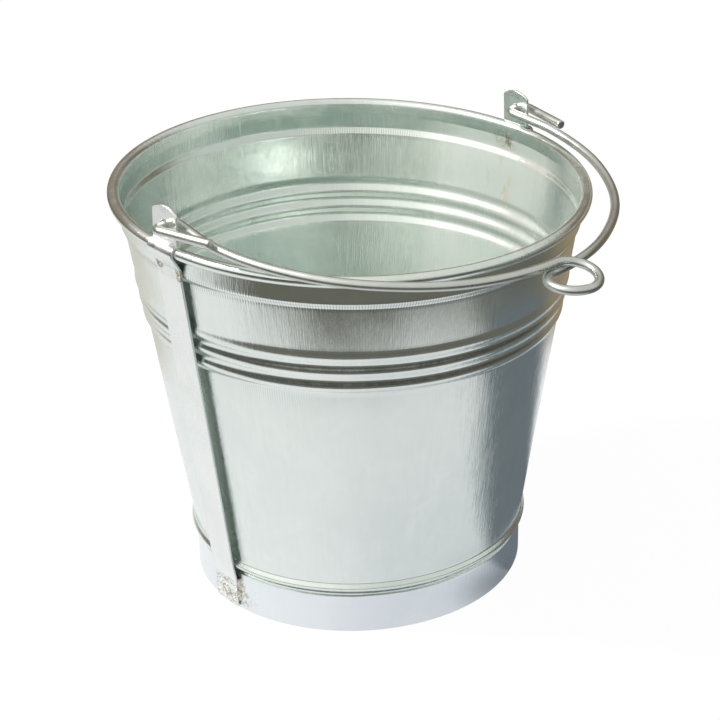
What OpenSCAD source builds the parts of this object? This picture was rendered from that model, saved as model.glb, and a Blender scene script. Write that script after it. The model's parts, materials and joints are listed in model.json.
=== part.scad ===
// Galvanised steel feed bucket with a swinging wire handle.
//
// Frame: the origin is the centre of the foot ring's lower edge, +Z is up, and
// the two handle ears stand on the X axis. The handle is drawn swung down over
// the rim towards -Y. All dimensions are in millimetres.

/* [Bucket body] */
// Outer diameter over the rolled rim
rim_d = 305; // [295:1:307]
// Height from the ground to the top of the rim
body_h = 275; // [265:1:290]
// Outer diameter of the foot ring
foot_d = 218; // [210:1:226]
// Thickness of the sheet steel
sheet_t = 0.8; // [0.6:0.1:1]
// Diameter of the rolled rim bead
bead_d = 7.5; // [6.5:0.5:8]
// Height of the plain collar, from the top of the rim to the shoulder
collar_h = 19.5; // [17:0.5:22]
// Height of the shoulder that steps in below the collar
shoulder_h = 5; // [4:0.5:6]

/* [Swaged ridges] */
// Depth of the first ridge below the top of the rim
ridge_top = 54; // [48:1:60]
// Pitch of the three ridges
ridge_pitch = 11; // [9:0.5:12]
// How far the ridge crests stand out from the lower wall
ridge_out = 2.3; // [1.8:0.1:2.5]
// How far the upper wall stands out from the lower wall
upper_out = 1.4; // [0.8:0.1:1.6]
// How far the bottom bead stands out from the lower wall
bottom_bead = 2.6; // [1.5:0.1:2.8]

/* [Foot and floor] */
// Height of the foot ring
foot_h = 27; // [24:0.5:28]
// Thickness of the foot ring
foot_t = 1; // [0.8:0.1:1.2]
// Height of the bucket floor above the ground
floor_z = 27; // [25:0.5:27]
// Height of the embossed ring in the floor
emboss = 1.2; // [0:0.1:1.5]

/* [Ear straps] */
// Width of each ear strap
strap_w = 22; // [18:1:26]
// Thickness of each ear strap
strap_t = 1.6; // [1.4:0.1:2]
// Height of the ear above the rim
ear_h = 24.5; // [22:0.5:26]
// Rise of the ear's arched top
ear_arch = 4; // [1:0.5:5]
// Sideways lean of the straps, in degrees
strap_lean = 1.7; // [0:0.1:2]
// Diameter of the handle hole in each ear
hole_d = 8; // [7:0.5:9]
// Height of the handle pivot above the rim
pivot_rise = 11.5; // [10.5:0.5:12]

/* [Handle] */
// Diameter of the handle wire
wire_d = 6; // [5:0.5:6]
// Radius of the handle's main arc
bail_r = 145; // [145:1:148]
// How far the handle lies below the pivot's horizontal plane, in degrees
rest_tilt = 5.2; // [0:0.2:6]
// Radius of the hanging loop, to the wire's centre
loop_r = 15.5; // [14:0.1:20]
// Length of each hook's free leg
hook_leg = 37; // [25:1:38]

/* [Hidden] */
$fn = 120;

rim_r = rim_d / 2;
foot_r = foot_d / 2;
bead_r = bead_d / 2;
bead_c = rim_r - bead_r;              // radius of the rim bead's centre line
bead_z = body_h - bead_r;             // height of the rim bead's centre line
collar_r = bead_c - bead_r + sheet_t; // outer radius of the collar
shoulder_z = body_h - collar_h;       // top of the shoulder
neck_z = shoulder_z - shoulder_h;     // bottom of the shoulder
bead_hi = foot_h + 11.5;              // where the lower wall ends and the bottom bead starts
bead_mid = foot_h + 7;                // crest of the bottom bead
bead_lo = foot_h + 1.2;               // bottom of the bottom bead
skirt_r = foot_r - foot_t - 0.05;     // outer radius of the wall's skirt inside the foot ring
skirt_z = 8;                          // lower edge of the skirt
wall_lo = foot_r + 1.5;               // outer radius of the lower wall at its lower end
wall_hi = collar_r - 3.8;             // the same line carried up to the shoulder
wall_k = (wall_hi - wall_lo) / (neck_z - bead_hi);

// Outer radius of the plain lower wall at height z
function line_r(z) = wall_lo + (z - bead_hi) * wall_k;
// Smooth step from a to b as t goes from 0 to 1
function ease(a, b, t) = a + (b - a) * (1 - cos(180 * t)) / 2;

// Ridge knots, from the top down: [height, offset from the lower wall line]
rz = body_h - ridge_top;
ridge_knots = [
    [rz, upper_out],
    [rz - 0.5 * ridge_pitch, ridge_out],
    [rz - 1.0 * ridge_pitch, 0.7],
    [rz - 1.5 * ridge_pitch, ridge_out - 0.1],
    [rz - 2.0 * ridge_pitch, 0.6],
    [rz - 2.5 * ridge_pitch, ridge_out - 0.3],
    [rz - 3.0 * ridge_pitch, 0]
];

// Outer profile of the sheet as [radius, height], from the collar down to the skirt
function wall_profile(n = 6) = concat(
    [[collar_r, bead_z]],
    [for (i = [0:n]) [ease(collar_r, line_r(neck_z) + upper_out, i / n), shoulder_z - shoulder_h * i / n]],
    [for (k = [0:len(ridge_knots) - 2]) for (i = [0:n - 1])
        let(a = ridge_knots[k], b = ridge_knots[k + 1], z = a[0] + (b[0] - a[0]) * i / n)
            [line_r(z) + ease(a[1], b[1], i / n), z]],
    [let(z = ridge_knots[6][0]) [line_r(z), z]],
    [for (i = [0:n]) let(z = bead_hi + (bead_mid - bead_hi) * i / n)
        [line_r(z) + ease(0, bottom_bead, i / n), z]],
    [for (i = [1:n]) let(z = bead_mid + (bead_lo - bead_mid) * i / n)
        [ease(line_r(bead_mid) + bottom_bead, skirt_r, i / n), z]],
    [[skirt_r, skirt_z]]
);
outer = wall_profile();
function reversed(p) = [for (i = [len(p) - 1:-1:0]) p[i]];
function inward(p, t) = [for (q = p) [q[0] - t, q[1]]];

// Sheet steel body: rolled rim, collar, shoulder, three ridges, bottom bead and skirt
module bucket_wall() {
    color("#c9d0d3") {
        rotate_extrude() polygon(concat(outer, reversed(inward(outer, sheet_t))));
        // the sheet rolled outward round the rim wire
        rotate_extrude() difference() {
            translate([bead_c, bead_z]) circle(r = bead_r);
            translate([bead_c, bead_z]) circle(r = bead_r - sheet_t);
            translate([bead_c, bead_z]) polygon([[0, 0], [-10, 0], [-10, -10], [-3, -10]]);
        }
    }
}

// Stiffening wire inside the rolled rim
module rim_wire() {
    color("#9aa1a5")
    rotate_extrude() translate([bead_c, bead_z]) circle(r = bead_r - sheet_t - 0.03);
}

// Weld bead of the body's side seam, standing just inside the wall
module side_seam_weld() {
    zs = concat([[collar_r, body_h - 7]], [for (p = outer) if (p[1] > bead_hi + 1 && p[1] < body_h - 10) p],
                [[line_r(bead_hi + 6), bead_hi + 6]]);
    color("#b4babd")
    rotate([0, 0, 79.4])
    rotate_extrude(angle = 1.2)
        polygon(concat(inward(zs, sheet_t), reversed(inward(zs, sheet_t + 0.3))));
}

// Floor: a pressed disc with a down-turned flange inside the skirt
module floor_disc() {
    fr = skirt_r - sheet_t - 0.05;
    c = 3;
    top = concat(
        [[0, floor_z], [foot_r * 0.5, floor_z]],
        [for (i = [1:6]) [foot_r * 0.5 + 6 * i / 6, floor_z + ease(0, emboss, i / 6)]],
        [for (i = [0:6]) [foot_r * 0.72 + 6 * i / 6, floor_z + ease(emboss, 0, i / 6)]],
        [for (i = [0:8]) [fr - c + c * sin(90 * i / 8), floor_z - c + c * cos(90 * i / 8)]]);
    under = concat(
        [for (i = [8:-1:0]) [fr - c + (c - sheet_t) * sin(90 * i / 8), floor_z - c + (c - sheet_t) * cos(90 * i / 8)]],
        [for (i = [6:-1:0]) [foot_r * 0.72 + i, floor_z - sheet_t + ease(emboss, 0, i / 6)]],
        [for (i = [6:-1:1]) [foot_r * 0.5 + i, floor_z - sheet_t + ease(0, emboss, i / 6)]],
        [[foot_r * 0.5, floor_z - sheet_t], [0, floor_z - sheet_t]]);
    color("#bcc4c7")
    rotate_extrude()
        polygon(concat(top, [[fr, skirt_z + 1], [fr - sheet_t, skirt_z + 1]], under));
}

// Foot ring: a separate hoop over the skirt, its top edge just under the bottom bead
module foot_ring() {
    color("#ccd3d8")
    rotate_extrude() translate([foot_r - foot_t, 0]) square([foot_t, foot_h]);
}

/* ---- ear straps ---- */

pivot_z = body_h + pivot_rise;
ear_x = bead_c - 0.25;               // middle of the ear's thickness
collar_x = collar_r + 0.05 + strap_t / 2;
foot_x = foot_r + 0.05 + strap_t / 2;
bow_r = bead_r + 0.05 + strap_t / 2; // strap's middle, where it wraps the rim bead
bow_q = shoulder_z + 3.5;            // where the strap leaves the collar

// Direction of the strap's tangent line from the collar to the rim bead
bow_dx = bead_c - collar_x;
bow_dz = bead_z - bow_q;
bow_a = atan2(bow_dx, bow_dz) + asin(bow_r / norm([bow_dx, bow_dz]));

// Round the corners of a polyline: each middle point is replaced by n + 1 points
function unit(v) = v / norm(v);
function corner(a, b, c, r, n = 6) =
    let(u = unit(a - b), v = unit(c - b), half = acos(max(-1, min(1, u * v))) / 2,
        d = r / tan(half), p = b + u * d, q = b + v * d, m = unit(u + v), o = b + m * r / sin(half),
        a0 = atan2(p[1] - o[1], p[0] - o[0]), a1 = atan2(q[1] - o[1], q[0] - o[0]),
        da = a1 - a0, s = da > 180 ? da - 360 : da < -180 ? da + 360 : da)
    [for (i = [0:n]) o + r * [cos(a0 + s * i / n), sin(a0 + s * i / n)]];

// Middle line of the strap in the X-Z plane, from the foot up to the top of the ear
turn_a = 80;                         // where it leaves the bead again to bend up into the ear
bow_pts = [for (i = [0:12]) let(a = -bow_a + (turn_a + bow_a) * i / 12)
    [bead_c + bow_r * cos(a), bead_z + bow_r * sin(a)]];
strap_line = let(
        f0 = [foot_x, 1.5], f1 = [foot_x, foot_h - 10],
        f2 = [line_r(bead_mid) + bottom_bead + 0.25 + strap_t / 2, bead_mid],
        f3 = [collar_x, shoulder_z - 3.5], f4 = [collar_x, bow_q],
        e0 = bow_pts[12], e1 = [ear_x, e0[1] + (e0[0] - ear_x) * tan(90 - turn_a)], e2 = [ear_x, body_h + ear_h + 1])
    concat([f0], corner(f0, f1, f2, 8), corner(f1, f2, f3, 12), corner(f2, f3, f4, 10),
           corner(f3, f4, bow_pts[0], 3), bow_pts, corner(e0, e1, e2, strap_t / 2 + 0.15), [e2]);

// Offset of an open polyline by distance d to its left
function side(p, d) = [for (i = [0:len(p) - 1])
    let(a = i == 0 ? p[1] - p[0] : p[i] - p[i - 1], b = i == len(p) - 1 ? a : p[i + 1] - p[i],
        ua = unit(a), ub = unit(b), m = unit([-ua[1] - ub[1], ua[0] + ub[0]]),
        k = m * [-ua[1], ua[0]])
    p[i] + m * d / max(0.5, k)];

module ear_outline() {
    arc = (strap_w * strap_w / 4 + ear_arch * ear_arch) / (2 * ear_arch);
    ztop = body_h + ear_h;
    translate([-strap_w / 2, -20]) square([strap_w, ztop - ear_arch - 6 + 20]);
    intersection() {
        translate([-strap_w / 2, ztop - ear_arch - 8]) square([strap_w, ear_arch + 8]);
        translate([0, ztop - arc]) circle(r = arc);
    }
}

// One strap with its bored ear, standing on the +X side
module strap() {
    difference() {
        intersection() {
            rotate([90, 0, 0])
                linear_extrude(height = strap_w + 2, center = true)
                    polygon(concat(side(strap_line, strap_t / 2), reversed(side(strap_line, -strap_t / 2))));
            translate([80, 0, 0]) rotate([90, 0, 90]) linear_extrude(height = 100) ear_outline();
        }
        translate([ear_x - 5, 0, pivot_z]) rotate([0, 90, 0]) cylinder(d = hole_d, h = 10);
    }
}

// Lean a strap, and what is welded to it, about its own handle hole
module lean() translate([0, 0, pivot_z]) rotate([-strap_lean, 0, 0]) translate([0, 0, -pivot_z]) children();

module left_ear_strap() color("#d3dade") rotate([0, 0, 180]) lean() strap();
module right_ear_strap() color("#d3dade") lean() strap();

// Spot-weld buttons that hold each strap to the collar
module collar_spot_welds() {
    color("#a9a79c")
    for (a = [0, 180]) rotate([0, 0, a]) lean()
        for (y = [-6, 6])
            translate([collar_x + strap_t / 2, y, shoulder_z + 0.6])
                rotate([0, 90, 0]) cylinder(d1 = 5, d2 = 3.4, h = 0.5);
}

// Fillet welds down both edges of each strap's foot, filling in to the foot ring
module foot_fillet_welds() {
    drift = (pivot_z - 12) * sin(strap_lean); // how far the lean carries the strap's foot sideways
    function ring_x(y) = sqrt(foot_r * foot_r - (y - drift) * (y - drift)) + 0.03;
    color("#a09d90")
    for (a = [0, 180]) rotate([0, 0, a]) lean()
        for (s = [-1, 1])
            let(y0 = s * strap_w / 2, y1 = s * (strap_w / 2 + 1.6))
            translate([0, 0, 5])
                linear_extrude(height = 15)
                    polygon([[ring_x(y0), y0], [ring_x(y1), y1], [foot_r + 1.35, y0]]);
}

/* ---- handle ---- */

hook_b = 4.5;                         // centre-line radius of the hooks' bends
pin_in = ear_x - 2.75;                // where the pin through the ear starts and ends
pin_out = ear_x + 3.25;
arc_v = 175 - bail_r;                 // centre of the main arc, out from the pivot axis
leg_a = 8;                            // outward lean of the legs above the hooks
leg_c = 45;                           // radius that blends the legs into the main arc
free_a = 11;                          // lean of the hooks' free legs towards the handle
free_up = 6;                          // how far the free legs are turned up out of the handle's plane
lift = wire_d / 2 + 0.1;              // half the spacing of the wires where the loop crosses
twist = asin(lift / (bail_r + arc_v)); // each half of the handle turns this much, so that they pass

bx = pin_in - hook_b * cos(leg_a);
by = hook_b + hook_b * sin(leg_a);
join_a = acos((bx * cos(leg_a) + (arc_v - by) * sin(leg_a) - leg_c) / (bail_r - leg_c)) - leg_a;
cx = (bail_r - leg_c) * cos(join_a);
cy = arc_v + (bail_r - leg_c) * sin(join_a);
leg_len = (cx - bx) * sin(leg_a) + (cy - by) * cos(leg_a);

// The handle's wire is laid in runs. A run starts at the origin heading along -Y,
// and what follows it starts where it ends. A sleeve 0.01 mm proud joins two runs.
gap = 0.05;
module sleeve() rotate([90, 0, 0]) cylinder(d = wire_d + 0.02, h = 6 * gap, center = true);
module wire_arc(r, a0, a1) {
    g = gap / r * 180 / PI;
    rotate([0, 0, a0 + g]) rotate_extrude(angle = a1 - a0 - 2 * g) translate([r, 0]) circle(d = wire_d);
}
module straight(l) {
    sleeve();
    translate([0, -gap, 0]) rotate([90, 0, 0]) cylinder(d = wire_d, h = l - 2 * gap);
    translate([0, -l, 0]) children();
}
// Bend of radius r through a degrees towards -X, or towards +X when flip is set
module bend(r, a, flip = 0) {
    sleeve();
    translate([flip ? r : -r, 0, 0]) rotate([0, 0, flip ? a : -a]) {
        mirror([flip, 0, 0]) wire_arc(r, 0, a);
        translate([flip ? -r : r, 0, 0]) children();
    }
}

// One half of the handle in its own plane, on the +X side: quarter arc, leg, bend,
// pin through the ear, bend, and the free leg that comes back beside the ear, turned up a little
module half_bail() {
    translate([0, arc_v, 0]) rotate([0, 0, join_a]) {
        wire_arc(bail_r, 0, 90 - join_a);
        translate([bail_r, 0, 0])
            bend(leg_c, join_a + leg_a)
            straight(leg_len)
            bend(hook_b, 90 + leg_a, 1)
            straight(pin_out - pin_in)
            rotate([0, free_up, 0])
            bend(hook_b, 90 + free_a, 1)
            straight(hook_leg);
    }
}

// The hanging loop: one full turn of the wire, in two half turns that cross at the handle's middle
module hang_loop() {
    y0 = (bail_r + arc_v) * cos(twist);
    y1 = y0 + 2 * loop_r;
    r = norm([2 * loop_r, lift]) / 2;
    tip = asin(lift / (2 * r));
    translate([0, y1, 0]) rotate([tip, 0, 0]) translate([0, -r, 0]) wire_arc(r, -90, 90);
    translate([0, y1, 0]) rotate([-tip, 0, 0]) translate([0, -r, 0]) wire_arc(r, 90, 270);
    for (p = [[0, y0, lift], [0, y0, -lift], [0, y1, 0]]) translate(p) rotate([0, 0, 90]) sleeve();
}

// Handle: one length of wire, hooked through both ears, with a loop in the middle
module bail() {
    color("#aeb6ba")
    translate([0, 0, pivot_z]) rotate([180 + rest_tilt, 0, 0]) {
        rotate([twist, 0, 0]) half_bail();
        rotate([-twist, 0, 0]) mirror([1, 0, 0]) half_bail();
        hang_loop();
    }
}

bucket_wall();
rim_wire();
side_seam_weld();
floor_disc();
foot_ring();
left_ear_strap();
right_ear_strap();
collar_spot_welds();
foot_fillet_welds();
bail();
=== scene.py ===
"""Looks of the galvanised steel feed bucket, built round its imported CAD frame.

Everything is in the part's own frame: origin at the centre of the foot ring's lower edge, +Z up,
ears on the X axis, handle at rest over the rim towards -Y. Lengths are in millimetres until the
mesh is made, which scales them to metres.
"""

import json
import math

import bpy
import numpy as np
from mathutils import Matrix, Vector

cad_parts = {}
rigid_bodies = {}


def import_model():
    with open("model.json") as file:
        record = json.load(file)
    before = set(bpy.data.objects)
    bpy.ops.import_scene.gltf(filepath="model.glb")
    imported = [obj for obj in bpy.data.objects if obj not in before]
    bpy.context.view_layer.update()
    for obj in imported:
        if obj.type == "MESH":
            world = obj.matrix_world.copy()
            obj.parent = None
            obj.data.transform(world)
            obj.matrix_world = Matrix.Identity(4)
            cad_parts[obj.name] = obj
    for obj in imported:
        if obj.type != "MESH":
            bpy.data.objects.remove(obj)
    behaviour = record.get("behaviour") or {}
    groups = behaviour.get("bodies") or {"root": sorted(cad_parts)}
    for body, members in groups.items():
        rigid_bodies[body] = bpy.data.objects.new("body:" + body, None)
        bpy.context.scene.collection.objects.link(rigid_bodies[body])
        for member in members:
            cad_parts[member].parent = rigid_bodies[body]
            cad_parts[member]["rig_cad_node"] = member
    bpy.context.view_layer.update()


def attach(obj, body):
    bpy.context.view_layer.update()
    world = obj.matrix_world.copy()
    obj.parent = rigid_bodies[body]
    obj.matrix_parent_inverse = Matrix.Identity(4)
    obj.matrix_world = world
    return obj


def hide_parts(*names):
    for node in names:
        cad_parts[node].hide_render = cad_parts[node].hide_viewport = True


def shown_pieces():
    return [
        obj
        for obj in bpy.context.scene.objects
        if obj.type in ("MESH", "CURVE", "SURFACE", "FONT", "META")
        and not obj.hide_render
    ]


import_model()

MM = 0.001
PI = math.pi

# ---------------------------------------------------------------- dimensions, as in the CAD source
RIM_R, BODY_H, FOOT_R, SHEET = 152.5, 275.0, 109.0, 0.8
BEAD_R = 3.75
BEAD_C, BEAD_Z = RIM_R - BEAD_R, BODY_H - BEAD_R
COLLAR_R = BEAD_C - BEAD_R + SHEET
SHOULDER_Z, NECK_Z = 255.5, 250.5
BEAD_HI, BEAD_MID, BEAD_LO = 38.5, 34.0, 28.2
SKIRT_R, SKIRT_Z = FOOT_R - 1.05, 8.0
WALL_LO, WALL_HI = FOOT_R + 1.5, COLLAR_R - 3.8
WALL_K = (WALL_HI - WALL_LO) / (NECK_Z - BEAD_HI)
UPPER_OUT, BOTTOM_BEAD = 1.4, 2.6
KNOTS = [(221.0, 1.4), (215.5, 2.3), (210.0, 0.7), (204.5, 2.2), (199.0, 0.6), (193.5, 2.0), (188.0, 0.0)]
STRAP_W, STRAP_T, EAR_TOP, EAR_ARCH, LEAN = 22.0, 1.6, 299.5, 4.0, math.radians(1.7)
PIVOT_Z, HOLE_R = 286.5, 4.0
EAR_X = BEAD_C - 0.25
WIRE_R = 3.0
ARC_R, ARC_V, LOOP_R, REST_TILT = 145.0, 30.0, 15.5, 5.2


def line_r(z):
    return WALL_LO + (z - BEAD_HI) * WALL_K


def ease(a, b, t):
    return a + (b - a) * (1 - np.cos(PI * t)) / 2


# ---------------------------------------------------------------- mesh helpers
def smooth_noise(points, seed, scale, octaves=3):
    """A smooth, repeatable noise at points (N, 3), made of sine waves in fixed random directions."""
    g = np.random.default_rng(seed)
    out = np.zeros(len(points))
    amp, total = 1.0, 0.0
    for _ in range(octaves):
        for _ in range(5):
            d = g.normal(size=3)
            d /= np.linalg.norm(d)
            out += amp * np.sin(points @ (d * scale) + g.uniform(0, 2 * PI)) / 2.2
        total += amp
        amp *= 0.55
        scale *= 2.1
    return out / total


def make_mesh(name, verts, faces, body, stands_for=(), material=None, uv=None, sharp=35.0):
    """A piece from vertices in millimetres: smooth shaded, with edges sharper than `sharp` degrees kept crisp."""
    me = bpy.data.meshes.new(name)
    me.from_pydata((np.asarray(verts, float) * MM).tolist(), [], [list(map(int, f)) for f in faces])
    me.validate()
    if uv is not None:
        layer = me.uv_layers.new(name="UVMap")
        idx = np.zeros(len(me.loops), np.int32)
        me.loops.foreach_get("vertex_index", idx)
        layer.data.foreach_set("uv", np.asarray(uv, np.float32)[idx].ravel())
    ob = bpy.data.objects.new(name, me)
    bpy.context.scene.collection.objects.link(ob)
    for p in me.polygons:
        p.use_smooth = True
    me.set_sharp_from_angle(angle=math.radians(sharp))
    if material is not None:
        me.materials.append(material)
    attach(ob, body)
    if stands_for:
        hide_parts(*stands_for)
    return ob


def add_bevel(ob, width, segments=2, angle=40.0):
    m = ob.modifiers.new("edge_round", "BEVEL")
    m.width = width * MM
    m.segments = segments
    m.limit_method = "ANGLE"
    m.angle_limit = math.radians(angle)
    m.harden_normals = False
    return m


def revolve(profile, count, shift=None, a0=0.0, a1=2 * PI, closed=True):
    """Turns a closed profile of (r, z) about Z. Returns vertices, faces and the vertex azimuths."""
    p = np.asarray(profile, float)
    m = len(p)
    full = abs(a1 - a0 - 2 * PI) < 1e-9
    az = np.linspace(a0, a1, count, endpoint=not full)
    A, K = np.meshgrid(az, np.arange(m), indexing="ij")
    r, z = p[K, 0], p[K, 1]
    if shift is not None:
        dr, dz = shift(A, r, z)
        r, z = r + dr, z + dz
    v = np.stack([r * np.cos(A), r * np.sin(A), z], -1).reshape(-1, 3)
    faces = []
    rings = count if full else count - 1
    last = m if closed else m - 1
    for i in range(rings):
        j = (i + 1) % count
        b0, b1 = i * m, j * m
        for k in range(last):
            k2 = (k + 1) % m
            faces.append((b0 + k, b1 + k, b1 + k2, b0 + k2))
    if not full and closed:
        faces.append(tuple(range(m)))
        faces.append(tuple((count - 1) * m + k for k in reversed(range(m))))
    return v, faces, A.ravel()


def sweep(path, radius, sides=28, caps=True, tilt=0.0):
    """A round wire along a path (N, 3), with slightly rounded cut ends."""
    p = np.asarray(path, float)
    t = np.gradient(p, axis=0)
    t /= np.linalg.norm(t, axis=1)[:, None]
    n = np.cross(t[0], [0.0, 0.0, 1.0])
    n /= np.linalg.norm(n)
    frames = []
    for i in range(len(p)):
        n = n - t[i] * (n @ t[i])
        n /= np.linalg.norm(n)
        frames.append((n.copy(), np.cross(t[i], n)))
    ang = np.linspace(0, 2 * PI, sides, endpoint=False)
    rad = np.full(len(p), float(radius)) if np.isscalar(radius) else np.asarray(radius, float)
    rings = []
    for i in range(len(p)):
        a, b = frames[i]
        rings.append(p[i] + rad[i] * (np.cos(ang)[:, None] * a + np.sin(ang)[:, None] * b))
    if caps:
        e = 0.45
        head = [(p[0] + (q - p[0]) * k) + t[0] * s for q, k, s in ((rings[0], 0.0, 0), (rings[0], 0.45, 0), (rings[0], 0.86, 0))]
        tail = [(p[-1] + (q - p[-1]) * k) - t[-1] * s for q, k, s in ((rings[-1], 0.86, 0), (rings[-1], 0.45, 0), (rings[-1], 0.0, 0))]
        body = rings[:]
        body[0] = rings[0] + t[0] * e
        body[-1] = rings[-1] - t[-1] * e
        allr = head[1:] + body + tail[:-1]
        v = [head[0][0]] + [x for r in allr for x in r] + [tail[-1][0]]
        f = []
        k = sides
        for j in range(k):
            f.append((0, 1 + (j + 1) % k, 1 + j))
        for i in range(len(allr) - 1):
            for j in range(k):
                j2 = (j + 1) % k
                f.append((1 + i * k + j, 1 + i * k + j2, 1 + (i + 1) * k + j2, 1 + (i + 1) * k + j))
        last = 1 + (len(allr) - 1) * k
        for j in range(k):
            f.append((len(v) - 1, last + j, last + (j + 1) % k))
        # distance along the wire and angle round it, for the material
        s = np.concatenate([[0], np.cumsum(np.linalg.norm(np.diff(p, axis=0), axis=1))])
        ss = [s[0]] * 3 + list(s) + [s[-1]] * 3
        uv = [(ss[0], 0)] + [(ss[1 + i], ang[j] * 3) for i in range(len(allr)) for j in range(k)] + [(ss[-1], 0)]
        return np.array(v), f, np.array(uv) * MM
    v = np.concatenate(rings)
    f = []
    for i in range(len(p) - 1):
        for j in range(sides):
            j2 = (j + 1) % sides
            f.append((i * sides + j, i * sides + j2, (i + 1) * sides + j2, (i + 1) * sides + j))
    return v, f, None


# ---------------------------------------------------------------- materials
class Nodes:
    """A small helper that builds shader nodes."""

    def __init__(self, name):
        self.mat = bpy.data.materials.new(name)
        self.mat.use_nodes = True
        self.nt = self.mat.node_tree
        self.nt.nodes.clear()

    def new(self, kind, **props):
        n = self.nt.nodes.new(kind)
        for k, v in props.items():
            setattr(n, k, v)
        return n

    def link(self, a, b):
        self.nt.links.new(a, b)

    def put(self, sock, value):
        if isinstance(value, (int, float)):
            sock.default_value = value
        elif isinstance(value, (tuple, list)):
            sock.default_value = value
        else:
            self.link(value, sock)

    def math(self, op, a, b=None, c=None, clamp=False):
        n = self.new("ShaderNodeMath", operation=op)
        n.use_clamp = clamp
        self.put(n.inputs[0], a)
        if b is not None:
            self.put(n.inputs[1], b)
        if c is not None:
            self.put(n.inputs[2], c)
        return n.outputs[0]

    def vec(self, x, y, z):
        n = self.new("ShaderNodeCombineXYZ")
        for i, s in enumerate((x, y, z)):
            self.put(n.inputs[i], s)
        return n.outputs[0]

    def noise(self, vector, scale, detail=3.0, rough=0.55, distort=0.0, ramp=None):
        n = self.new("ShaderNodeTexNoise")
        self.link(vector, n.inputs["Vector"])
        n.inputs["Scale"].default_value = scale
        n.inputs["Detail"].default_value = detail
        n.inputs["Roughness"].default_value = rough
        n.inputs["Distortion"].default_value = distort
        out = n.outputs["Fac"]
        if ramp:
            out = self.remap(out, *ramp)
        return out

    def remap(self, v, a, b, c=0.0, d=1.0, smooth=True):
        n = self.new("ShaderNodeMapRange")
        n.interpolation_type = "SMOOTHSTEP" if smooth else "LINEAR"
        self.put(n.inputs["Value"], v)
        n.inputs["From Min"].default_value = a
        n.inputs["From Max"].default_value = b
        n.inputs["To Min"].default_value = c
        n.inputs["To Max"].default_value = d
        return n.outputs["Result"]

    def mix(self, f, a, b):
        n = self.new("ShaderNodeMix", data_type="RGBA")
        self.put(n.inputs["Factor"], f)
        self.put(n.inputs[6], a)
        self.put(n.inputs[7], b)
        return n.outputs[2]

    def mixf(self, f, a, b):
        n = self.new("ShaderNodeMix", data_type="FLOAT")
        self.put(n.inputs["Factor"], f)
        self.put(n.inputs[2], a)
        self.put(n.inputs[3], b)
        return n.outputs[0]

    def bump(self, height, strength, distance, normal=None):
        n = self.new("ShaderNodeBump")
        n.inputs["Strength"].default_value = strength
        n.inputs["Distance"].default_value = distance
        self.link(height, n.inputs["Height"])
        if normal is not None:
            self.link(normal, n.inputs["Normal"])
        return n.outputs["Normal"]

    def finish(self, shader):
        out = self.new("ShaderNodeOutputMaterial")
        self.link(shader, out.inputs["Surface"])
        return self.mat


def rgb(*c):
    return (c[0], c[1], c[2], 1.0)


def facing(m, direction, azimuth, lo, hi):
    """How nearly a horizontal unit direction points to an azimuth in degrees, eased between two cosines."""
    d = m.new("ShaderNodeVectorMath", operation="DOT_PRODUCT")
    m.link(direction, d.inputs[0])
    a = math.radians(azimuth)
    d.inputs[1].default_value = (math.cos(a), math.sin(a), 0.0)
    return m.remap(d.outputs["Value"], lo, hi)


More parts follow.
